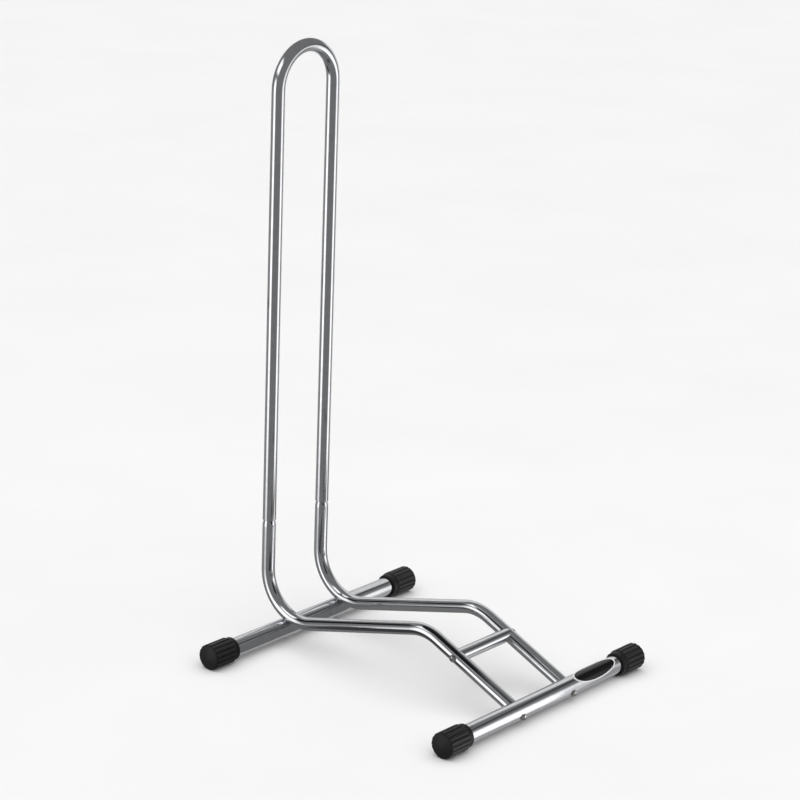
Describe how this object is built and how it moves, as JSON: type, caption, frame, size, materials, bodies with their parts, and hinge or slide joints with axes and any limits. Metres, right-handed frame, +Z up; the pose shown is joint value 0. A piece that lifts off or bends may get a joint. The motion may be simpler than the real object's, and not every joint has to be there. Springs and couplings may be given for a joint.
{
  "type": "floor bike rack",
  "caption": "Free-standing chromed tube rack that holds a bicycle upright by its wheel between the legs of a tall hoop, on crossbars with rubber caps.",
  "frame": {"origin": "on the floor, under the middle of the bounding box", "axes": "+X along the crossbars to the right as seen from the front, +Y from the front crossbar to the hoop, +Z up"},
  "size_m": [0.362, 0.4045, 0.7189],
  "materials": {
    "chrome_tube": "bright chrome plate on drawn steel tube",
    "cap_rubber": "moulded black rubber, slightly shiny",
    "bolt_steel": "bright plated steel",
    "insert_steel": "plain turned steel"
  },
  "bodies": {
    "base_frame": {"side_tube_left": "chrome_tube", "side_tube_right": "chrome_tube", "front_crossbar": "chrome_tube", "rear_crossbar": "chrome_tube", "spacer_bar": "chrome_tube", "foot_cap_front_left": "cap_rubber", "foot_cap_front_right": "cap_rubber", "foot_cap_rear_left": "cap_rubber", "foot_cap_rear_right": "cap_rubber", "front_bolt_left": "bolt_steel", "front_bolt_right": "bolt_steel", "spacer_bolt_left": "bolt_steel", "spacer_bolt_right": "bolt_steel", "rear_bolt_left": "bolt_steel", "rear_bolt_right": "bolt_steel", "front_insert_left": "insert_steel", "front_insert_right": "insert_steel", "spacer_insert_left": "insert_steel", "spacer_insert_right": "insert_steel", "rear_insert_left": "insert_steel", "rear_insert_right": "insert_steel"},
    "upper_hoop": {"hoop": "chrome_tube"}
  },
  "joints": [
    {"name": "hoop_lift", "type": "slide", "parent": "base_frame", "child": "upper_hoop", "axis": [0, 0, 1], "range_m": [0, 0.06]}
  ]
}
